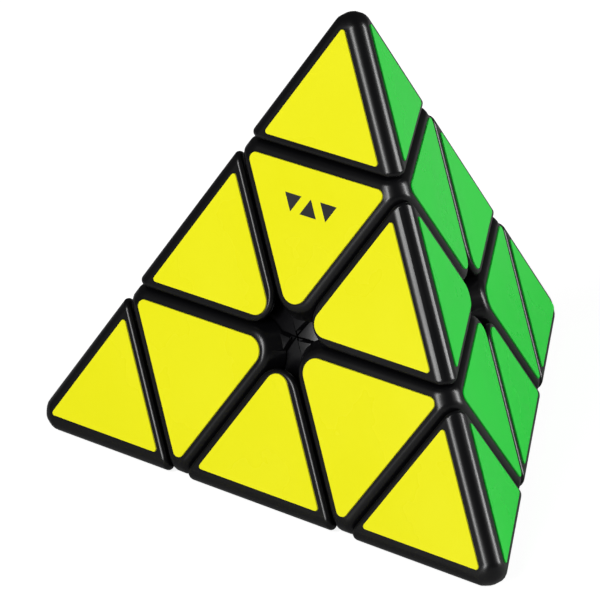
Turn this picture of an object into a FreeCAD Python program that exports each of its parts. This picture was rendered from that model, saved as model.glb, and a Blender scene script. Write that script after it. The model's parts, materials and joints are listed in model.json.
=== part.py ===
import FreeCAD, Part
import math
import os
import Sketcher

# Pyramid twisty puzzle: a regular tetrahedron cut into turning corner layers.
# The origin is the middle of the core, where the four turning axes meet.  +Z runs up
# through the top corner, the yellow face looks along -Y and the blue face is underneath.
# A corner's "axis" runs from the core out through that corner.  Planes square to an axis
# are given by their distance from the core: the layer cut at one ninth of the corner's own
# distance, the tip cut at five ninths, and the face opposite the corner at minus one third.

os.makedirs("parts", exist_ok=True)
doc = FreeCAD.newDocument("pyramid_twisty_puzzle")
sheet = doc.addObject("Spreadsheet::Sheet", "sizes")

DRIVING_SIZES = [
    ("edge_length", 106.0),        # sharp corner to sharp corner; 99 over the rounded tips
    ("turn_gap", 0.15),            # each piece stands this far back from a cut
    ("ridge_radius", 2.4),         # the six outside edges and the four tips
    ("rim_radius", 0.8),           # rims of tips and edge pieces, beside a groove
    ("centre_rim_radius", 1.8),    # rims of the centre pieces, beside a groove
    ("centre_ball", 22.6),         # ball about a centre piece that takes off its six points
    ("well_radius", 5.0),          # the inner edge of an edge piece, at the face centres
    ("foot_cut", 6.1),             # distance of the layer cut between the hidden feet
    ("foot_outer", 18.5),          # ball that shows in the face centres; heads run over it
    ("foot_inner", 12.0),          # sphere that the feet run on
    ("running_gap", 0.3),          # gap between spheres that slide on each other
    ("core_radius", 11.7),
    ("arm_radius", 3.1),
    ("arm_end", 17.0),
    ("hub_radius", 6.6),
    ("hub_start", 12.6),
    ("hub_end", 24.0),
    ("arm_bore", 3.4),
    ("screw_bore", 1.75),
    ("shoulder_outer", 19.2),      # sphere where a centre piece's collar runs into its head
    ("tip_wall", 2.3),
    ("tip_base_thick", 3.2),
    ("spring_seat_radius", 3.2),
    ("spring_seat_depth", 1.0),
    ("screw_radius", 1.5),
    ("screw_start", 6.5),
    ("screw_head_at", 45.4),
    ("screw_head_radius", 2.9),
    ("screw_head_thick", 1.9),
    ("recess_width", 0.8),
    ("recess_length", 3.4),
    ("recess_depth", 1.1),
    ("washer_radius", 3.0),
    ("washer_thick", 0.6),
    ("spring_radius", 2.35),
    ("spring_wire", 0.3),
    ("spring_pitch", 1.15),
    ("sticker_thick", 0.2),
    ("sticker_tip_inner", 1.77),   # sticker edge to the cut beside it
    ("sticker_tip_ridge", 3.88),   # sticker edge to the sharp outside edge
    ("sticker_edge_inner", 1.96),
    ("sticker_edge_ridge", 3.85),
    ("sticker_centre_tip", 1.67),
    ("sticker_centre_edge", 1.61),
    ("sticker_small_corner", 0.55),
    ("sticker_medium_corner", 1.2),
    ("sticker_well_corner", 2.5),
]
for row, (alias, value) in enumerate(DRIVING_SIZES, start=1):
    sheet.set(f"A{row}", alias)
    sheet.set(f"B{row}", str(value))
    sheet.setAlias(f"B{row}", alias)
doc.recompute()

# Distances along an axis, as expressions of the driving sizes
CORNER = "sizes.edge_length * sqrt(6) / 4"
FACE = "sizes.edge_length * sqrt(6) / 12"
LAYER_CUT = "sizes.edge_length * sqrt(6) / 36"
TIP_CUT = "sizes.edge_length * sqrt(6) * 5 / 36"
CELL_INRADIUS = "sizes.edge_length * sqrt(3) / 18"
FACE_TILT = "asin(1 / 3)"
GAP = "sizes.turn_gap"
SPRING_SEAT = f"{TIP_CUT} + {GAP} + sizes.tip_base_thick - sizes.spring_seat_depth"

Vector = FreeCAD.Vector
Rotation = FreeCAD.Rotation
Placement = FreeCAD.Placement
UP = Vector(0, 0, 1)
HERE = Placement()


def size(alias):
    return float(sheet.get(alias))


# The same distances as numbers, for placements
face_distance = size("edge_length") * math.sqrt(6) / 12
tip_floor = face_distance * 5 / 3 + size("turn_gap")
spring_seat = tip_floor + size("tip_base_thick") - size("spring_seat_depth")
cell_inradius = face_distance * math.sqrt(2) / 3     # of the small triangles on a face


def base_corner(turn):
    """Direction of a corner of the base, turned from +X about the vertical."""
    reach = math.sqrt(8) / 3
    angle = math.radians(turn)
    return Vector(reach * math.cos(angle), reach * math.sin(angle), -1 / 3)


CORNERS = {"top": UP, "left": base_corner(210), "right": base_corner(330), "back": base_corner(90)}
FACES = {"yellow": "back", "green": "left", "red": "right", "blue": "top"}   # opposite corner
EDGES = [("top", "left"), ("top", "right"), ("top", "back"),
         ("left", "right"), ("left", "back"), ("right", "back")]

# The same four axes as an edge piece sees them, with the middle of its ridge along its own +Z
LEAN = math.sqrt(2 / 3)
RISE = math.sqrt(1 / 3)
EDGE_SIDES = [Vector(LEAN, 0, RISE), Vector(-LEAN, 0, RISE)]
EDGE_ENDS = [Vector(0, LEAN, -RISE), Vector(0, -LEAN, -RISE)]

nodes = {}


def facing(z_axis, y_hint):
    """Turn that takes +Z to z_axis and +Y as near to y_hint as it can."""
    return Rotation(y_hint.cross(z_axis), y_hint, z_axis, "ZYX")


def along(turn, distance):
    """A place on an axis, with +Z along that axis."""
    return Placement(turn.multVec(UP) * distance, turn)


def part(kind, label, place=HERE, **sizes):
    """A primitive whose sizes are expressions."""
    thing = doc.addObject("Part::" + kind, label)
    for name, expression in sizes.items():
        thing.setExpression(name, expression)
    thing.Placement = place
    return thing


def boolean(kind, label, pieces):
    thing = doc.addObject("Part::Multi" + kind, label)
    thing.Shapes = pieces
    return thing


def cut(label, base, *tools):
    thing = doc.addObject("Part::Cut", label)
    thing.Base = base
    thing.Tool = tools[0] if len(tools) == 1 else boolean("Fuse", label + "_tools", list(tools))
    return thing


def round_edges(label, base, radius_of):
    """Fillet each edge of base by radius_of(edge), leaving those where it gives None."""
    doc.recompute()
    thing = doc.addObject("Part::Fillet", label)
    thing.Base = base
    radii = [(index, radius_of(edge)) for index, edge in enumerate(base.Shape.Edges, start=1)]
    thing.Edges = [(index, radius, radius) for index, radius in radii if radius]
    return thing


def pyramid(label, base_at, apex_at, place=HERE, upside_down=False):
    """A regular tetrahedron with its axis along Z, from its base plane to its apex."""
    outline = part("RegularPolygon", label + "_outline",
                   Circumradius=f"abs(({apex_at}) - ({base_at})) / sqrt(2)")
    outline.Polygon = 3
    outline.Placement = Placement(Vector(), Rotation(UP, -90 if upside_down else 90))
    outline.setExpression("Placement.Base.z", base_at)
    apex = part("Vertex", label + "_apex", Z=apex_at)
    loft = doc.addObject("Part::Loft", label)
    loft.Sections = [outline, apex]
    loft.Solid = True
    loft.Ruled = True
    loft.Placement = place
    return loft


def ball(label, radius):
    return part("Sphere", label, Radius=radius)


def cap(label, radius, distance, axis):
    """The part of a ball beyond a plane square to axis."""
    return part("Sphere", label, Placement(Vector(), Rotation(UP, axis)),
                Radius=radius, Angle1=f"asin(({distance}) / ({radius}))")


def keep(label, thing, place=HERE):
    """Register a finished sub-part and put it in its place."""
    thing.Label = label
    thing.Placement = place
    nodes[label] = thing


# ---- triangles drawn in sketches ----

def triangle_sketch(body, inradius):
    """An equilateral triangle about the body's origin, one corner along +Y."""
    sketch = body.newObject("Sketcher::SketchObject", body.Name + "_triangle")
    plane = next(item for item in body.Origin.OriginFeatures if item.Role == "XY_Plane")
    sketch.AttachmentSupport = [(plane, "")]
    sketch.MapMode = "FlatFace"
    corners = [Vector(0, 10, 0), Vector(-8.66, -5, 0), Vector(8.66, -5, 0)]
    for start, end in zip(corners, corners[1:] + corners[:1]):
        sketch.addGeometry(Part.LineSegment(start, end))
    for line in range(3):
        sketch.addConstraint(Sketcher.Constraint("Coincident", line, 2, (line + 1) % 3, 1))
    sketch.addConstraint(Sketcher.Constraint("Horizontal", 1))
    sketch.addConstraint(Sketcher.Constraint("PointOnObject", 0, 1, -2))
    sketch.addConstraint(Sketcher.Constraint("Equal", 0, 1))
    sketch.addConstraint(Sketcher.Constraint("Equal", 1, 2))
    rise = sketch.addConstraint(Sketcher.Constraint("DistanceY", 1, 1, -1, 1, 5))
    sketch.setExpression(f"Constraints[{rise}]", inradius)
    side = sketch.addConstraint(Sketcher.Constraint("Distance", 1, 17.32))
    sketch.setExpression(f"Constraints[{side}]", f"2 * sqrt(3) * ({inradius})")
    return sketch


def pad(body, sketch, length, taper=None):
    feature = body.newObject("PartDesign::Pad", body.Name + "_pad")
    feature.Profile = sketch
    feature.setExpression("Length", length)
    if taper:
        feature.setExpression("TaperAngle", taper)
    return feature


def drill(body, label, radius, start, depth):
    """A round hole about the body's axis, cut upwards from start."""
    sketch = body.newObject("Sketcher::SketchObject", f"{body.Name}_{label}_outline")
    plane = next(item for item in body.Origin.OriginFeatures if item.Role == "XY_Plane")
    sketch.AttachmentSupport = [(plane, "")]
    sketch.MapMode = "FlatFace"
    sketch.setExpression("AttachmentOffset.Base.z", start)
    sketch.addGeometry(Part.Circle(Vector(), UP, 1))
    sketch.addConstraint(Sketcher.Constraint("Coincident", 0, 3, -1, 1))
    width = sketch.addConstraint(Sketcher.Constraint("Radius", 0, 1))
    sketch.setExpression(f"Constraints[{width}]", radius)
    feature = body.newObject("PartDesign::Pocket", f"{body.Name}_{label}")
    feature.Profile = sketch
    feature.Reversed = True
    feature.setExpression("Length", depth)
    return feature


# ---- core, screws, springs and washers ----

def core_spider():
    arms = []
    holes = []
    for name, axis in CORNERS.items():
        turn = Rotation(UP, axis)
        arms.append(part("Cylinder", f"core_arm_{name}", Placement(Vector(), turn),
                         Radius="sizes.arm_radius", Height="sizes.arm_end"))
        holes.append(part("Cylinder", f"core_hole_{name}", along(turn, size("screw_start")),
                          Radius="sizes.screw_radius", Height="sizes.arm_end"))
    spider = boolean("Fuse", "core_solid", [ball("core_ball", "sizes.core_radius")] + arms)
    keep("core_spider", cut("core", spider, *holes))


def axis_screw(name, axis):
    turn = Rotation(UP, axis)
    shank = part("Cylinder", f"screw_shank_{name}", along(turn, size("screw_start")),
                 Radius="sizes.screw_radius", Height="sizes.screw_head_at - sizes.screw_start")
    head = part("Cylinder", f"screw_head_{name}", along(turn, size("screw_head_at")),
                Radius="sizes.screw_head_radius", Height="sizes.screw_head_thick")
    screw = boolean("Fuse", f"screw_solid_{name}", [shank, head])
    slots = []
    recess_at = size("screw_head_at") + size("screw_head_thick") - size("recess_depth")
    for quarter in (0, 90):
        across = Rotation(axis, quarter) * turn
        corner = across.multVec(Vector(-size("recess_length") / 2, -size("recess_width") / 2, recess_at))
        slots.append(part("Box", f"recess_{name}_{quarter}", Placement(corner, across),
                          Length="sizes.recess_length", Width="sizes.recess_width",
                          Height="sizes.recess_depth"))
    return cut(f"screw_{name}", screw, *slots)


def axis_washer(name, axis):
    place = along(Rotation(UP, axis), size("screw_head_at") - size("washer_thick"))
    disc = part("Cylinder", f"washer_disc_{name}", place,
                Radius="sizes.washer_radius", Height="sizes.washer_thick")
    hole = part("Cylinder", f"washer_hole_{name}", place,
                Radius="sizes.screw_bore", Height="sizes.washer_thick")
    return cut(f"washer_{name}", disc, hole)


def axis_spring(name, axis):
    """A wire wound from the seat in the tip base up to the washer."""
    room = f"sizes.screw_head_at - sizes.washer_thick - ({SPRING_SEAT})"
    helix = part("Helix", f"spring_path_{name}", Radius="sizes.spring_radius",
                 Pitch="sizes.spring_pitch", Height=f"{room} - 2 * sizes.spring_wire - {GAP}")
    wire = part("Circle", f"spring_wire_{name}",
                Placement(Vector(size("spring_radius"), 0, 0), Rotation(Vector(1, 0, 0), 90)),
                Radius="sizes.spring_wire")
    coil = doc.addObject("Part::Sweep", f"spring_{name}")
    coil.Sections = [wire]
    coil.Spine = (helix, ["Edge1"])
    coil.Solid = True
    coil.Frenet = True
    coil.Placement = along(Rotation(UP, axis), spring_seat + size("spring_wire") + size("turn_gap"))
    return coil


def group(label, maker):
    """Four alike fasteners, one on each axis, in one node."""
    compound = doc.addObject("Part::Compound", label)
    compound.Links = [maker(name, axis) for name, axis in CORNERS.items()]
    keep(label, compound)


# ---- tips ----

def tip_cap(name, place):
    solid = pyramid(f"tip_solid_{name}", f"{TIP_CUT} + {GAP}", CORNER)

    def radius_of(edge):
        beside_groove = abs(edge.CenterOfMass.z - tip_floor) < 0.01
        return size("rim_radius") if beside_groove else size("ridge_radius")

    rounded = round_edges(f"tip_rounded_{name}", solid, radius_of)
    hollow = pyramid(f"tip_hollow_{name}", f"{TIP_CUT} + {GAP}", f"{CORNER} - 3 * sizes.tip_wall")
    keep(f"tip_cap_{name}", cut(f"tip_cap_{name}", rounded, hollow), place)


def tip_base(name, turn):
    """The plate that closes a tip cap from below and turns on the axis screw."""
    body = doc.addObject("PartDesign::Body", f"tip_base_{name}")
    inradius = f"({CORNER} - 3 * sizes.tip_wall - ({TIP_CUT}) - {GAP}) / sqrt(8)"
    pad(body, triangle_sketch(body, inradius), "sizes.tip_base_thick", f"-{FACE_TILT}")
    drill(body, "screw_hole", "sizes.screw_bore", "0", "sizes.tip_base_thick")
    drill(body, "spring_seat", "sizes.spring_seat_radius",
          "sizes.tip_base_thick - sizes.spring_seat_depth", "sizes.spring_seat_depth")
    keep(f"tip_base_{name}", body, along(turn, tip_floor))


# ---- centre pieces ----

def centre_piece(name, place):
    """The eight-sided piece under a tip: head, hub on the core's arm, and screw hole."""
    corner_block = pyramid(f"centre_outer_{name}", f"{LAYER_CUT} + {GAP}", CORNER)
    inner_block = pyramid(f"centre_inner_{name}", f"{TIP_CUT} - {GAP}", f"-({FACE}) + 3 * {GAP}",
                          upside_down=True)
    point_ball = ball(f"centre_ball_{name}", "sizes.centre_ball")
    point_ball.setExpression("Placement.Base.z", FACE)
    block = boolean("Common", f"centre_block_{name}", [corner_block, inner_block, point_ball])
    rounded = round_edges(f"centre_rounded_{name}", block, lambda edge: size("centre_rim_radius"))
    head = cut(f"centre_head_{name}", rounded,
               ball(f"centre_under_{name}", "sizes.foot_outer + sizes.running_gap"))
    hub = part("Cylinder", f"centre_hub_{name}", Placement(Vector(0, 0, size("hub_start")), Rotation()),
               Radius="sizes.hub_radius", Height="sizes.hub_end - sizes.hub_start")
    solid = boolean("Fuse", f"centre_solid_{name}", [head, hub, centre_collar(name)])
    arm_bore = part("Cylinder", f"centre_arm_bore_{name}",
                    Radius="sizes.arm_bore", Height="sizes.arm_end + sizes.running_gap")
    screw_bore = part("Cylinder", f"centre_screw_bore_{name}", Radius="sizes.screw_bore", Height=CORNER)
    keep(f"centre_piece_{name}", cut(f"centre_piece_{name}", solid, arm_bore, screw_bore), place)


def centre_collar(name):
    """A shell about the core that holds the place between the feet of the edge pieces."""
    shell = boolean("Fuse", f"collar_shell_{name}", [
        cap(f"collar_ball_{name}", "sizes.foot_outer", f"sizes.foot_cut + {GAP}", UP),
        cap(f"collar_shoulder_{name}", "sizes.shoulder_outer", f"{LAYER_CUT} + {GAP}", UP)])
    clear = [cap(f"collar_clear_{name}_{side}", "sizes.shoulder_outer + sizes.running_gap",
                 f"sizes.foot_cut - {GAP}", axis)
             for side, axis in enumerate(CORNERS.values()) if axis is not UP]
    return cut(f"collar_{name}", shell, ball(f"collar_core_clear_{name}", "sizes.foot_inner"), *clear)


# ---- edge pieces ----

def edge_piece(name, place):
    """Head between two layer cuts, and a foot that runs under the two centre pieces beside it."""
    sides = [pyramid(f"edge_side_{name}_{side}", f"{LAYER_CUT} + {GAP}", CORNER,
                     Placement(Vector(), facing(axis, EDGE_SIDES[1 - side])))
             for side, axis in enumerate(EDGE_SIDES)]
    block = boolean("Common", f"edge_block_{name}", sides)

    def radius_of(edge):
        spot = edge.CenterOfMass
        if abs(spot.x) < 0.01 and abs(spot.y) < 0.01:
            outside = spot.z > face_distance
            return size("ridge_radius") if outside else size("well_radius")
        return size("rim_radius")

    head = round_edges(f"edge_head_{name}", block, radius_of)
    caps = [cap(f"edge_foot_side_{name}_{side}", "sizes.foot_outer", f"sizes.foot_cut + {GAP}", axis)
            for side, axis in enumerate(EDGE_SIDES)]
    shell = boolean("Common", f"edge_shell_{name}", caps)
    solid = boolean("Fuse", f"edge_solid_{name}", [head, shell])
    tools = [cap(f"edge_clear_{name}_{end}", "sizes.foot_outer + sizes.running_gap",
                 f"sizes.foot_cut - {GAP}", axis)
             for end, axis in enumerate(EDGE_ENDS)]
    tools.append(ball(f"edge_core_clear_{name}", "sizes.foot_inner"))
    keep(f"edge_piece_{name}", cut(f"edge_piece_{name}", solid, *tools), place)


# ---- stickers ----

def sticker(label, normal, pointing, distance, inradius, point_radius, base_radius):
    """A thin triangle on a face.  It points along pointing and sits distance that way from
    the face centre; its pointing corner and its two base corners have their own radii."""
    body = doc.addObject("PartDesign::Body", label)
    last = pad(body, triangle_sketch(body, inradius), "sizes.sticker_thick")
    doc.recompute()
    for corner, radius in (("point", point_radius), ("base", base_radius)):
        wanted = []
        for index, edge in enumerate(last.Shape.Edges, start=1):
            upright = abs(edge.tangentAt(edge.FirstParameter).z) > 0.99
            at_point = abs(edge.CenterOfMass.x) < 0.5
            if upright and at_point == (corner == "point") and edge.CenterOfMass.Length > 4:
                wanted.append(f"Edge{index}")
        fillet = body.newObject("PartDesign::Fillet", f"{label}_{corner}")
        fillet.Base = (last, wanted)
        fillet.setExpression("Radius", radius)
        doc.recompute()
        last = fillet
    spot = normal * face_distance + pointing * distance
    keep(label, body, Placement(spot, facing(normal, pointing)))


def face_stickers(colour, opposite):
    normal = CORNERS[opposite] * -1
    for name, axis in CORNERS.items():
        if name == opposite:
            continue
        outwards = (axis - normal * axis.dot(normal)).normalize()
        beside = [other for other in CORNERS if other not in (name, opposite)]

        inner = size("sticker_tip_inner")
        inradius = cell_inradius - (inner + 2 * size("sticker_tip_ridge")) / 3
        sticker(f"sticker_{colour}_tip_{name}", normal, outwards,
                3 * cell_inradius + inner + inradius,
                f"{CELL_INRADIUS} - (sizes.sticker_tip_inner + 2 * sizes.sticker_tip_ridge) / 3",
                "sizes.sticker_small_corner", "sizes.sticker_small_corner")

        near_tip = size("sticker_centre_tip")
        inradius = cell_inradius - (near_tip + 2 * size("sticker_centre_edge")) / 3
        sticker(f"sticker_{colour}_centre_{name}", normal, outwards * -1,
                -(3 * cell_inradius - near_tip - inradius),
                f"{CELL_INRADIUS} - (sizes.sticker_centre_tip + 2 * sizes.sticker_centre_edge) / 3",
                "sizes.sticker_well_corner", "sizes.sticker_medium_corner")

        ridge = size("sticker_edge_ridge")
        inradius = cell_inradius - (ridge + 2 * size("sticker_edge_inner")) / 3
        sticker(f"sticker_{colour}_edge_{beside[0]}_{beside[1]}", normal, outwards,
                -(3 * cell_inradius - ridge - inradius),
                f"{CELL_INRADIUS} - (sizes.sticker_edge_ridge + 2 * sizes.sticker_edge_inner) / 3",
                "sizes.sticker_well_corner", "sizes.sticker_small_corner")


core_spider()
group("axis_screws", axis_screw)
group("axis_washers", axis_washer)
group("axis_springs", axis_spring)
for corner_name, corner_axis in CORNERS.items():
    neighbour = CORNERS["back" if corner_name != "back" else "top"]
    corner_turn = facing(corner_axis, neighbour)
    tip_cap(corner_name, Placement(Vector(), corner_turn))
    tip_base(corner_name, corner_turn)
    centre_piece(corner_name, Placement(Vector(), corner_turn))
for first, second in EDGES:
    out = CORNERS[first] + CORNERS[second]
    lengthways = CORNERS[first] - CORNERS[second]
    edge_turn = Rotation(lengthways, out.cross(lengthways), out, "ZXY")
    edge_piece(f"{first}_{second}", Placement(Vector(), edge_turn))
for face_colour, far_corner in FACES.items():
    face_stickers(face_colour, far_corner)

doc.recompute()
for thing in doc.Objects:
    if "Invalid" in thing.State or "Error" in thing.State:
        raise RuntimeError(f"{thing.Label} did not compute: {thing.State}")
for label, thing in nodes.items():
    if thing.Shape.isNull() or not thing.Shape.isValid():
        raise RuntimeError(f"{label} has no valid shape")
for label, thing in nodes.items():
    thing.Shape.exportStep(f"parts/{label}.step")
print(len(nodes), "sub-parts written")
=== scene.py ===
"""A pyramid twisty puzzle: mouldings, stickers, hidden metalwork, studio.

Each moulding is modelled once, about the core and in the place that suits it, and copied
to its other places.  An axis runs from the core out through a corner; a plane square to it
is given by its distance from the core.
"""
import json
import math

import bpy
from mathutils import Matrix, Vector

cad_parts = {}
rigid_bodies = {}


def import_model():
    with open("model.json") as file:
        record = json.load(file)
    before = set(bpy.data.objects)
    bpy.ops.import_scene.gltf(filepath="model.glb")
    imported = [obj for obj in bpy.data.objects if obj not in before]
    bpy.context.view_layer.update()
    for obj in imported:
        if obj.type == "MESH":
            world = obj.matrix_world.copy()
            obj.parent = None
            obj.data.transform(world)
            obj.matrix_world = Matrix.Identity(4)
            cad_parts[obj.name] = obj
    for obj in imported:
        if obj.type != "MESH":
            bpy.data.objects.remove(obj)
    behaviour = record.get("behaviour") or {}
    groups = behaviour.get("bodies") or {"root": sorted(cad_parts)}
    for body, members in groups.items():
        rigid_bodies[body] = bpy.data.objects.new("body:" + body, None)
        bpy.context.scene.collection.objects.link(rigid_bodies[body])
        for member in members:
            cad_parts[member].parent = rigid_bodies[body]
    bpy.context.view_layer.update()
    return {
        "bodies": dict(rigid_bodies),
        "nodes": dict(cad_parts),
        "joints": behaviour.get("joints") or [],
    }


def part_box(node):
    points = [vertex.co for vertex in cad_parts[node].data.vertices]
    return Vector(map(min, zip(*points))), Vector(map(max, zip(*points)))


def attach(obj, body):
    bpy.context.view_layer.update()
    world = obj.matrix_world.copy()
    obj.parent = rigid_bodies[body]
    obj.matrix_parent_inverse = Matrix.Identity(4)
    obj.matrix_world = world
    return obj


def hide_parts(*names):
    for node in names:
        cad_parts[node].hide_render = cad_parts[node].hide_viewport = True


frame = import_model()

MM = 0.001

# ---- the puzzle's planes and axes, from the frame ----

FACE = -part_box("edge_piece_left_right")[0].z        # core to a face
CORNER = 3 * FACE                                   # core to a sharp corner
LAYER_CUT = FACE / 3
TIP_CUT = FACE * 5 / 3
CELL = FACE * math.sqrt(2) / 3                      # inradius of the small triangles on a face
TURN_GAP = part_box("tip_base_top")[0].z - TIP_CUT    # each piece stands this far back from a cut
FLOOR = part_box("sticker_blue_tip_left")[0].z

AXES = {}
for joint in frame["joints"]:
    if joint["child"].startswith("layer_"):
        AXES[joint["child"].removeprefix("layer_")] = Vector(joint["axis"]).normalized()
EDGES = [body.removeprefix("edge_").split("_") for body in frame["bodies"] if body.startswith("edge_")]
FACES = {"yellow": "back", "green": "left", "red": "right", "blue": "top"}   # opposite corner

# ---- sizes ----

RIDGE_ROUND = 2.4 * MM            # outside edges of the puzzle
POINT_ROUND = 2.85 * MM           # its four points
RIM_ROUND = 0.8 * MM              # rims of tips and edge pieces, beside a groove
CENTRE_RIM_ROUND = 1.8 * MM       # rims of centre pieces
BUMP_ROUND = 3.35 * MM             # where a centre piece comes to the puzzle's outside edge
WELL_ROUND = 5.0 * MM             # where a piece comes to the middle of a face
FOOT_CUT = 6.1 * MM               # the layer cut between the hidden feet
FOOT_OUTER = 18.5 * MM            # the ball that shows in the middle of each face
FOOT_INNER = 12.0 * MM
RUNNING_GAP = 0.3 * MM
SHOULDER_OUTER = 19.2 * MM
HUB_RADIUS = 6.6 * MM
HUB_START = 12.6 * MM
HUB_END = 24.0 * MM
ARM_BORE = 3.4 * MM
ARM_BORE_END = 17.3 * MM
SCREW_BORE = 1.75 * MM
TIP_WALL = 2.3 * MM

# How finely the rounded shapes are laid out
BALL_FINENESS = 3                 # subdivisions of the balls that a moulding is stretched over
RIDGE_STEPS = 9                   # balls along the arc of a rounded edge
BUMP_STEPS = 7
CENTRE_WELL_STEPS = 15
EDGE_WELL_STEPS = 17
FLAT_ENOUGH = math.radians(0.3)   # facets closer than this to one plane are made one

STICKER_THICK = 0.2 * MM
STICKER_SLOPE = 0.06 * MM         # the cut edge leans in by this much
TIP_STICKER = {"point_margin": 3.88 * MM, "base_margin": 1.77 * MM,
               "point_round": 0.55 * MM, "base_round": 0.55 * MM}
CENTRE_STICKER = {"point_margin": 1.61 * MM, "base_margin": 1.67 * MM,
                  "point_round": 2.65 * MM, "base_round": 1.2 * MM}
EDGE_STICKER = {"point_margin": 1.96 * MM, "base_margin": 3.85 * MM,
                "point_round": 2.4 * MM, "base_round": 0.55 * MM}


# ---- modelling helpers ----

def clear_selection():
    bpy.ops.object.select_all(action="DESELECT")


def named(name):
    """Name the new primitive and put its place into its mesh."""
    piece = bpy.context.object
    piece.name = name
    piece.data.name = name
    bpy.ops.object.transform_apply(location=True, rotation=True, scale=True)
    return piece


def edit_all(piece):
    """Open a piece in edit mode with everything selected."""
    clear_selection()
    piece.select_set(True)
    bpy.context.view_layer.objects.active = piece
    bpy.ops.object.mode_set(mode="EDIT")
    bpy.ops.mesh.select_all(action="SELECT")


def close_edit():
    bpy.ops.object.mode_set(mode="OBJECT")
    clear_selection()


def wrap(name, balls):
    """A convex moulding stretched over balls, each a centre and a radius."""
    clear_selection()
    bpy.ops.mesh.primitive_ico_sphere_add(subdivisions=BALL_FINENESS, radius=balls[0][1],
                                          location=balls[0][0])
    piece = named(name)
    edit_all(piece)
    for centre, radius in balls[1:]:
        bpy.ops.mesh.primitive_ico_sphere_add(subdivisions=BALL_FINENESS, radius=radius, location=centre)
    bpy.ops.mesh.select_all(action="SELECT")
    bpy.ops.mesh.convex_hull()
    bpy.ops.mesh.dissolve_limited(angle_limit=FLAT_ENOUGH)
    close_edit()
    return piece


def corner_balls(side_a, side_b, end, edge_round, rim_round, steps=RIDGE_STEPS):
    """Balls that follow, in an arc, the rounded edge between two sides where it meets an end.
    Sides and ends are planes: an outward direction and a distance from the core."""
    out_a, out_b = side_a[0], side_b[0]
    lengthways = out_a.cross(out_b).normalized()
    outwards = (out_a + out_b).normalized()
    sideways = lengthways.cross(outwards)
    cosine = out_a.dot(out_b)
    depth_a, depth_b = side_a[1] - edge_round, side_b[1] - edge_round
    middle = (out_a * (depth_a - cosine * depth_b) + out_b * (depth_b - cosine * depth_a)) / (1 - cosine ** 2)
    half_turn = out_a.angle(out_b) / 2
    balls = []
    for step in range(steps):
        turn = half_turn * (2 * step / (steps - 1) - 1)
        place = middle + (edge_round - rim_round) * (outwards * math.cos(turn) + sideways * math.sin(turn))
        place += lengthways * ((end[1] - rim_round - end[0].dot(place)) / end[0].dot(lengthways))
        balls.append((place, rim_round))
    return balls


def ball(name, radius):
    clear_selection()
    bpy.ops.mesh.primitive_uv_sphere_add(segments=96, ring_count=48, radius=radius)
    return named(name)


def post(name, radius, start, end):
    """A round post along the top axis."""
    clear_selection()
    bpy.ops.mesh.primitive_cylinder_add(vertices=64, radius=radius, depth=end - start,
                                        location=(0, 0, (start + end) / 2))
    return named(name)


def beyond(piece, axis, distance, keep_outside=True):
    """Keep the part of a closed piece on one side of a plane, and close it there."""
    edit_all(piece)
    bpy.ops.mesh.bisect(plane_co=axis * distance, plane_no=axis, use_fill=True,
                        clear_inner=keep_outside, clear_outer=not keep_outside)
    close_edit()
    return piece


def combine(piece, tool, operation):
    """Join a tool to a piece, or cut the piece with it, and use the tool up."""
    clear_selection()
    bpy.context.view_layer.objects.active = piece
    change = piece.modifiers.new(operation.lower(), "BOOLEAN")
    change.operation = operation
    change.solver = "EXACT"
    change.object = tool
    bpy.ops.object.modifier_apply(modifier=change.name)
    bpy.data.objects.remove(tool)
    return piece


def smooth(piece, sharp=40):
    """Smooth shading that keeps flats flat and leaves cut edges sharp."""
    clear_selection()
    piece.select_set(True)
    bpy.context.view_layer.objects.active = piece
    bpy.ops.object.shade_smooth_by_angle(angle=math.radians(sharp))
    change = piece.modifiers.new("flat faces", "WEIGHTED_NORMAL")
    change.mode = "FACE_AREA"
    change.keep_sharp = True
    bpy.ops.object.modifier_apply(modifier=change.name)
    clear_selection()
    return piece


def facing(up, forwards):
    """The turn that takes +Z to up and +Y as near to forwards as it can."""
    up = up.normalized()
    forwards = (forwards - up * forwards.dot(up)).normalized()
    return Matrix((forwards.cross(up), forwards, up)).transposed().to_4x4()


def copy_of(master, name, place):
    """A copy with its own mesh, with the place put into the mesh."""
    piece = master.copy()
    piece.data = master.data.copy()
    piece.name = name
    piece.data.name = name
    bpy.context.collection.objects.link(piece)
    piece.data.transform(place)
    return piece


# ---- materials ----

def group_input(group, name, value):
    socket = group.interface.new_socket(name, in_out="INPUT", socket_type="NodeSocketFloat")
    socket.default_value = value


def join(tree, pairs):
    for source, target in pairs:
        tree.links.new(source, target)


def noise(tree, coordinates, scale_socket, detail):
    node = tree.nodes.new("ShaderNodeTexNoise")
    node.inputs["Detail"].default_value = detail
    join(tree, [(coordinates, node.inputs["Vector"]), (scale_socket, node.inputs["Scale"])])
    return node.outputs["Fac"]


def spread(tree, value, low, high):
    """Spread a noise value, which stays near one half, over low to high."""
    node = tree.nodes.new("ShaderNodeMapRange")
    node.inputs["From Min"].default_value = 0.3
    node.inputs["From Max"].default_value = 0.7
    tree.links.new(value, node.inputs["Value"])
    for name, source in (("To Min", low), ("To Max", high)):
        if isinstance(source, float):
            node.inputs[name].default_value = source
        else:
            tree.links.new(source, node.inputs[name])
    return node.outputs["Result"]


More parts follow.
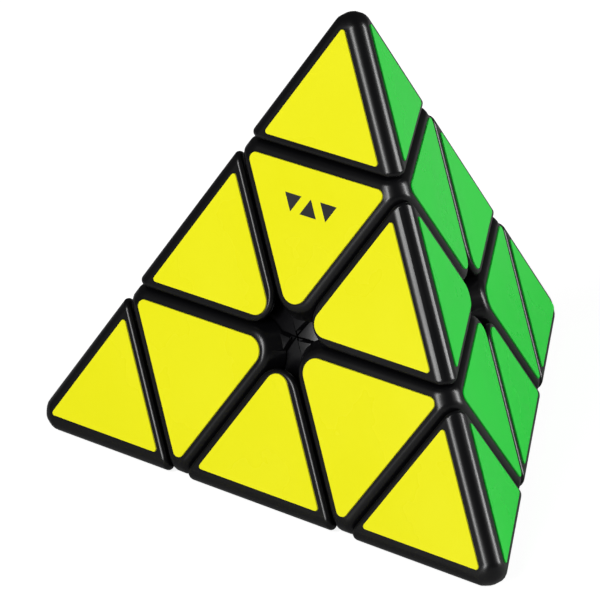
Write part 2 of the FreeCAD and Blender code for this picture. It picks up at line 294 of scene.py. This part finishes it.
def make_surface_group():
    """Fine texture and handling marks, shared by every finish.
    Height is a fine orange peel; Roughness goes from Polished to Dulled in soft patches;
    Tone is a slow change of shade about one."""
    group = bpy.data.node_groups.new("handled_surface", "ShaderNodeTree")
    for name, value in (("Peel Scale", 900.0), ("Patch Scale", 70.0), ("Polished", 0.2),
                        ("Dulled", 0.3), ("Tone Change", 0.04)):
        group_input(group, name, value)
    for name in ("Roughness", "Height", "Tone"):
        group.interface.new_socket(name, in_out="OUTPUT", socket_type="NodeSocketFloat")
    given = group.nodes.new("NodeGroupInput").outputs
    result = group.nodes.new("NodeGroupOutput").inputs
    coordinates = group.nodes.new("ShaderNodeTexCoord").outputs["Object"]
    peel = noise(group, coordinates, given["Peel Scale"], 2.0)
    patches = noise(group, coordinates, given["Patch Scale"], 4.0)
    tone = group.nodes.new("ShaderNodeMath")
    tone.operation = "MULTIPLY_ADD"
    tone.inputs[2].default_value = 1.0
    join(group, [(spread(group, patches, -0.5, 0.5), tone.inputs[0]),
                 (given["Tone Change"], tone.inputs[1]),
                 (tone.outputs["Value"], result["Tone"]),
                 (peel, result["Height"]),
                 (spread(group, patches, given["Polished"], given["Dulled"]), result["Roughness"])])
    return group


SURFACE = make_surface_group()


def finish(name, colour, polished, dulled, peel_scale=900.0, peel_height=0.01, patch_scale=70.0,
           tone_change=0.04, metallic=0.0, specular=0.5):
    """A Principled material over the shared surface group."""
    material = bpy.data.materials.new(name)
    material.use_nodes = True
    tree = material.node_tree
    shader = tree.nodes["Principled BSDF"]
    shader.inputs["Metallic"].default_value = metallic
    shader.inputs["Specular IOR Level"].default_value = specular
    surface = tree.nodes.new("ShaderNodeGroup")
    surface.node_tree = SURFACE
    for socket, value in (("Peel Scale", peel_scale), ("Patch Scale", patch_scale), ("Polished", polished),
                          ("Dulled", dulled), ("Tone Change", tone_change)):
        surface.inputs[socket].default_value = value
    shade = tree.nodes.new("ShaderNodeMix")
    shade.data_type = "RGBA"
    shade.blend_type = "MULTIPLY"
    shade.inputs["Factor"].default_value = 1.0
    shade.inputs["A"].default_value = (*colour, 1.0)
    bump = tree.nodes.new("ShaderNodeBump")
    bump.inputs["Strength"].default_value = 1.0
    bump.inputs["Distance"].default_value = peel_height * MM
    join(tree, [(surface.outputs["Tone"], shade.inputs["B"]),
                (shade.outputs["Result"], shader.inputs["Base Color"]),
                (surface.outputs["Roughness"], shader.inputs["Roughness"]),
                (surface.outputs["Height"], bump.inputs["Height"]),
                (bump.outputs["Normal"], shader.inputs["Normal"])])
    return material


def linear(red, green, blue):
    """A display colour, 0 to 255, as the light that it stands for."""
    return tuple(((value / 255 + 0.055) / 1.055) ** 2.4 if value > 10 else value / 255 / 12.92
                 for value in (red, green, blue))


BLACK_PLASTIC = finish("black_plastic", linear(9, 9, 11), 0.27, 0.32, peel_height=0.002,
                       specular=0.4)
CORE_PLASTIC = finish("core_plastic", linear(52, 54, 58), 0.42, 0.55, peel_height=0.012)
STEEL = finish("zinc_plated_steel", linear(190, 192, 198), 0.24, 0.4, peel_scale=2500.0,
               peel_height=0.006, metallic=1.0)
SPRING_STEEL = finish("spring_wire", linear(150, 152, 158), 0.2, 0.32, peel_scale=3000.0,
                      peel_height=0.004, metallic=1.0)
MARK_INK = finish("mark_ink", linear(24, 24, 26), 0.35, 0.45, peel_height=0.002)

FILM_COLOURS = {"yellow": (241, 238, 22), "green": (24, 226, 60), "red": (226, 26, 36),
                "blue": (22, 84, 214)}
# The cut edges get a lighter colour than the film. This is a painted highlight where the leaning edge catches
# the light.
EDGE_HIGHLIGHT_COLOURS = {"yellow": (246, 245, 120), "green": (120, 232, 130), "red": (236, 110, 112),
                    "blue": (110, 148, 230)}
FILM = {}
EDGE_HIGHLIGHT_FILM = {}
for colour, shade_of_film in FILM_COLOURS.items():
    FILM[colour] = finish(f"{colour}_film", linear(*shade_of_film), 0.24, 0.32, peel_scale=500.0,
                          peel_height=0.0004, patch_scale=45.0, tone_change=0.02, specular=0.36)
    # Second material: the film's colour lightened, a painted highlight on the cut edge.
    EDGE_HIGHLIGHT_FILM[colour] = finish(f"{colour}_film_edge", linear(*EDGE_HIGHLIGHT_COLOURS[colour]), 0.4, 0.55)


def dress(piece, *materials):
    piece.data.materials.clear()
    for material in materials:
        piece.data.materials.append(material)


# ---- tips ----

def tip_master():
    """A cap with a rounded point, open underneath for its base plate."""
    sides = [(-AXES[name], FACE) for name in ("left", "right", "back")]
    floor = (-AXES["top"], -(TIP_CUT + TURN_GAP))
    point = AXES["top"] * (CORNER - 3 * POINT_ROUND)
    aside = 3 * (POINT_ROUND - RIDGE_ROUND) / math.sqrt(2)
    balls = [(point, POINT_ROUND)]
    for name in ("left", "right", "back"):
        ridgewards = (AXES[name] - AXES["top"] * AXES[name].dot(AXES["top"])).normalized()
        balls.append((point + ridgewards * aside, RIDGE_ROUND))
    for number in range(3):
        balls += corner_balls(sides[number], sides[number - 1], floor, RIDGE_ROUND, RIM_ROUND)
    cap = wrap("tip_master", balls)
    height = CORNER - 3 * TIP_WALL - TIP_CUT - TURN_GAP
    below = 1.0 * MM
    clear_selection()
    bpy.ops.mesh.primitive_cone_add(vertices=3, radius1=(height + below) / math.sqrt(2), radius2=0,
                                    depth=height + below,
                                    location=(0, 0, TIP_CUT + TURN_GAP + (height - below) / 2))
    return smooth(combine(cap, named("tip_hollow"), "DIFFERENCE"))


# ---- centre pieces ----

def centre_head():
    faces = {name: (-AXES[name], FACE) for name in ("left", "right", "back")}
    cuts = {name: (AXES[name], LAYER_CUT - TURN_GAP) for name in faces}
    upper = (AXES["top"], TIP_CUT - TURN_GAP)
    lower = (-AXES["top"], -(LAYER_CUT + TURN_GAP))
    balls = []
    for name in faces:
        one, other = [side for side in faces if side != name]
        for end in (upper, cuts[name]):
            balls += corner_balls(faces[one], faces[other], end, BUMP_ROUND, CENTRE_RIM_ROUND, BUMP_STEPS)
        for end in (faces[name], lower):
            balls += corner_balls(cuts[one], cuts[other], end, WELL_ROUND, CENTRE_RIM_ROUND,
                                  CENTRE_WELL_STEPS)
    return wrap("centre_master", balls)


def centre_collar():
    """The part of the ball inside that fills the place between the edge pieces' feet."""
    shell = beyond(ball("collar", FOOT_OUTER), AXES["top"], FOOT_CUT + TURN_GAP)
    shoulder = beyond(ball("shoulder", SHOULDER_OUTER), AXES["top"], LAYER_CUT + TURN_GAP)
    combine(shell, shoulder, "UNION")
    for name in ("left", "right", "back"):
        beyond(shell, AXES[name], FOOT_CUT - TURN_GAP, keep_outside=False)
    return combine(shell, ball("collar_inside", FOOT_INNER), "DIFFERENCE")


def centre_master():
    piece = combine(centre_head(), ball("centre_under", FOOT_OUTER + RUNNING_GAP), "DIFFERENCE")
    combine(piece, centre_collar(), "UNION")
    combine(piece, post("hub", HUB_RADIUS, HUB_START, HUB_END), "UNION")
    combine(piece, post("arm_bore", ARM_BORE, 0, ARM_BORE_END), "DIFFERENCE")
    combine(piece, post("screw_bore", SCREW_BORE, 0, CORNER), "DIFFERENCE")
    return smooth(piece)


# ---- edge pieces ----

LEAN = math.sqrt(2 / 3)
RISE = math.sqrt(1 / 3)
EDGE_SIDES = [Vector((LEAN, 0, RISE)), Vector((-LEAN, 0, RISE))]     # axes of its own two layers
EDGE_ENDS = [Vector((0, LEAN, -RISE)), Vector((0, -LEAN, -RISE))]    # the other two axes


def edge_foot():
    foot = ball("foot", FOOT_OUTER)
    for axis in EDGE_SIDES:
        beyond(foot, axis, FOOT_CUT + TURN_GAP)
    for axis in EDGE_ENDS:
        beyond(foot, axis, FOOT_CUT - TURN_GAP, keep_outside=False)
    return combine(foot, ball("foot_inside", FOOT_INNER), "DIFFERENCE")


def edge_master():
    """A head with its ridge upwards, and a foot that runs under the two pieces beside it."""
    cuts = [(-axis, -(LAYER_CUT + TURN_GAP)) for axis in EDGE_SIDES]
    faces = [(-axis, FACE) for axis in EDGE_ENDS]
    balls = []
    for cut in cuts:
        balls += corner_balls(faces[0], faces[1], cut, RIDGE_ROUND, RIM_ROUND)
    for face in faces:
        balls += corner_balls(cuts[0], cuts[1], face, WELL_ROUND, RIM_ROUND, EDGE_WELL_STEPS)
    piece = wrap("edge_master", balls)
    for axis in EDGE_ENDS:
        clear = beyond(ball("clear", FOOT_OUTER + RUNNING_GAP), axis, FOOT_CUT - TURN_GAP)
        combine(piece, clear, "DIFFERENCE")
    combine(piece, edge_foot(), "UNION")
    return smooth(piece)


# ---- stickers ----

def sticker_inradius(shape):
    return CELL - (shape["base_margin"] + 2 * shape["point_margin"]) / 3


def sticker_master(name, shape):
    """A cut piece of film: three rounded corners, the pointing one along +Y, edges leaning in."""
    inradius = sticker_inradius(shape)
    edited = None
    corners = ((90, shape["point_round"]), (210, shape["base_round"]), (330, shape["base_round"]))
    for degrees, radius in corners:
        turn = math.radians(degrees)
        reach = 2 * (inradius - radius)
        spot = (reach * math.cos(turn), reach * math.sin(turn), STICKER_THICK / 2)
        if edited is None:
            clear_selection()
        bpy.ops.mesh.primitive_cone_add(vertices=72, radius1=radius, radius2=radius - STICKER_SLOPE,
                                        depth=STICKER_THICK, location=spot)
        if edited is None:
            edited = named(name)
            edit_all(edited)
    bpy.ops.mesh.select_all(action="SELECT")
    bpy.ops.mesh.convex_hull()
    bpy.ops.mesh.dissolve_limited(angle_limit=FLAT_ENOUGH)
    close_edit()
    # Upward faces take the film. The leaning cut edge takes the second material, a painted highlight.
    for polygon in edited.data.polygons:
        faces_up = polygon.normal.z > 0.9
        polygon.material_index = 0 if faces_up else 1
    return smooth(edited, sharp=30)


def place_stickers(masters):
    """Thirty-six stickers, nine to a face, each riding with the moulding under it."""
    for colour, opposite in FACES.items():
        normal = -AXES[opposite]
        for name, axis in AXES.items():
            if name == opposite:
                continue
            outwards = (axis - normal * axis.dot(normal)).normalized()
            beside = "_".join(pair for pair in AXES if pair not in (name, opposite))
            spots = [
                ("tip", name, f"tip_{name}", outwards,
                 3 * CELL + TIP_STICKER["base_margin"] + sticker_inradius(TIP_STICKER)),
                ("centre", name, f"layer_{name}", -outwards,
                 -3 * CELL + CENTRE_STICKER["base_margin"] + sticker_inradius(CENTRE_STICKER)),
                ("edge", beside, f"edge_{beside}", outwards,
                 -3 * CELL + EDGE_STICKER["base_margin"] + sticker_inradius(EDGE_STICKER))]
            for kind, where, body, pointing, distance in spots:
                place = Matrix.Translation(normal * FACE + pointing * distance) @ facing(normal, pointing)
                node = f"sticker_{colour}_{kind}_{where}"
                film = copy_of(masters[kind], f"film_{colour}_{kind}_{where}", place)
                # Film on top, painted highlight on the cut edge.
                dress(film, FILM[colour], EDGE_HIGHLIGHT_FILM[colour])
                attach(film, body)
                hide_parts(node)


def printed_mark():
    """Three small triangles printed on the top yellow centre sticker: a plain mark of no maker."""
    ink_thick = 0.03 * MM
    size = 2.0 * MM
    step = 3.7 * MM
    height = 2.15 * CELL          # above the middle of the face
    clear_selection()
    bpy.ops.mesh.primitive_cone_add(vertices=3, radius1=size, radius2=size, depth=ink_thick,
                                    location=(0, 0, ink_thick / 2))
    mark = named("printed_mark")
    edit_all(mark)
    for side in (-1, 1):
        bpy.ops.mesh.primitive_cone_add(vertices=3, radius1=size, radius2=size, depth=ink_thick,
                                        location=(side * step, size / 2, ink_thick / 2),
                                        rotation=(0, 0, math.pi))
    close_edit()
    normal = -AXES["back"]
    up = (AXES["top"] - normal * AXES["top"].dot(normal)).normalized()
    spot = normal * (FACE + STICKER_THICK) + up * height
    mark.data.transform(Matrix.Translation(spot) @ facing(normal, up))
    dress(mark, MARK_INK)
    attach(mark, "layer_top")


# ---- put the puzzle together ----

def build_mouldings():
    masters = {"tip": tip_master(), "centre": centre_master(), "edge": edge_master()}
    upright = facing(AXES["top"], AXES["back"]).inverted()
    for name, axis in AXES.items():
        neighbour = AXES["top" if name == "back" else "back"]
        turn = facing(axis, neighbour) @ upright
        for kind, node, body in (("tip", "tip_cap", "tip"), ("centre", "centre_piece", "layer")):
            piece = copy_of(masters[kind], f"{kind}_moulding_{name}", turn)
            dress(piece, BLACK_PLASTIC)
            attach(piece, f"{body}_{name}")
            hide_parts(f"{node}_{name}")
    for first, second in EDGES:
        out = AXES[first] + AXES[second]
        lengthways = AXES[first] - AXES[second]
        turn = facing(out, out.cross(lengthways))
        piece = copy_of(masters["edge"], f"edge_moulding_{first}_{second}", turn)
        dress(piece, BLACK_PLASTIC)
        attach(piece, f"edge_{first}_{second}")
        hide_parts(f"edge_piece_{first}_{second}")
    for master in masters.values():
        bpy.data.objects.remove(master)


def build_stickers():
    masters = {"tip": sticker_master("tip_film", TIP_STICKER),
               "centre": sticker_master("centre_film", CENTRE_STICKER),
               "edge": sticker_master("edge_film", EDGE_STICKER)}
    place_stickers(masters)
    for master in masters.values():
        bpy.data.objects.remove(master)
    printed_mark()


def dress_frame_parts():
    finishes = {"core_spider": CORE_PLASTIC, "axis_screws": STEEL, "axis_washers": STEEL,
                "axis_springs": SPRING_STEEL}
    for name, piece in frame["nodes"].items():
        if name in finishes:
            dress(piece, finishes[name])
        elif name.startswith("tip_base_"):
            dress(piece, BLACK_PLASTIC)


# ---- studio ----

def seen_by_camera(tree, otherwise, seen):
    """A strength that has one value in the camera's own view and another in reflections."""
    path = tree.nodes.new("ShaderNodeLightPath")
    strength = tree.nodes.new("ShaderNodeMapRange")
    strength.inputs["To Min"].default_value = otherwise
    strength.inputs["To Max"].default_value = seen
    join(tree, [(path.outputs["Is Camera Ray"], strength.inputs["Value"])])
    return strength.outputs["Result"]


def pale_floor():
    """A matt sheet, lifted to near white where the camera sees it."""
    clear_selection()
    bpy.ops.mesh.primitive_plane_add(size=8, location=(0, 0, FLOOR))
    floor = named("floor")
    material = bpy.data.materials.new("pale_floor")
    material.use_nodes = True
    shader = material.node_tree.nodes["Principled BSDF"]
    shader.inputs["Base Color"].default_value = (0.4, 0.4, 0.4, 1)
    shader.inputs["Roughness"].default_value = 0.9
    shader.inputs["Specular IOR Level"].default_value = 0.1
    shader.inputs["Emission Color"].default_value = (1, 1, 1, 1)
    lift = seen_by_camera(material.node_tree, 0.0, 0.84)
    join(material.node_tree, [(lift, shader.inputs["Emission Strength"])])
    dress(floor, material)


def softbox(name, towards, distance, width, height, brightness):
    """A rectangular light that looks at the puzzle; brightness is its surface's own."""
    light = bpy.data.lights.new(name, "AREA")
    light.shape = "RECTANGLE"
    light.size = width
    light.size_y = height
    light.energy = brightness * math.pi * width * height
    lamp = bpy.data.objects.new(name, light)
    bpy.context.collection.objects.link(lamp)
    lamp.location = towards.normalized() * distance
    lamp.rotation_euler = towards.to_track_quat("Z", "Y").to_euler()


def pale_room():
    """White where the camera looks past the floor, dim in every other direction."""
    world = bpy.data.worlds.new("room")
    bpy.context.scene.world = world
    world.use_nodes = True
    tree = world.node_tree
    background = tree.nodes["Background"]
    join(tree, [(seen_by_camera(tree, 0.05, 1.0), background.inputs["Strength"])])
    background.inputs["Color"].default_value = (1, 1, 1, 1)


def camera():
    lens = bpy.data.cameras.new("camera")
    lens.lens = 248.2
    lens.sensor_width = 36
    lens.clip_start = 0.01
    stand = bpy.data.objects.new("camera", lens)
    bpy.context.collection.objects.link(stand)
    place = (0.38693, -0.49770, 0.32844)
    azimuth, elevation, roll = math.radians(38.792), math.radians(27.085), math.radians(-1.757)
    stand.matrix_world = (Matrix.Translation(place)
                          @ Matrix.Rotation(azimuth, 4, "Z")
                          @ Matrix.Rotation(math.pi / 2 - elevation, 4, "X")
                          @ Matrix.Rotation(roll, 4, "Z"))
    bpy.context.scene.camera = stand


def studio():
    pale_floor()
    pale_room()
    softbox("key", towards=Vector((-0.05, -0.90, 0.42)), distance=1.2, width=0.26, height=0.95,
            brightness=17.6)
    softbox("right_side", towards=Vector((0.73, 0.57, 0.38)), distance=1.2, width=0.26, height=0.8,
            brightness=18.0)
    bpy.context.scene.view_settings.view_transform = "Standard"


build_mouldings()
build_stickers()
dress_frame_parts()
studio()
camera()
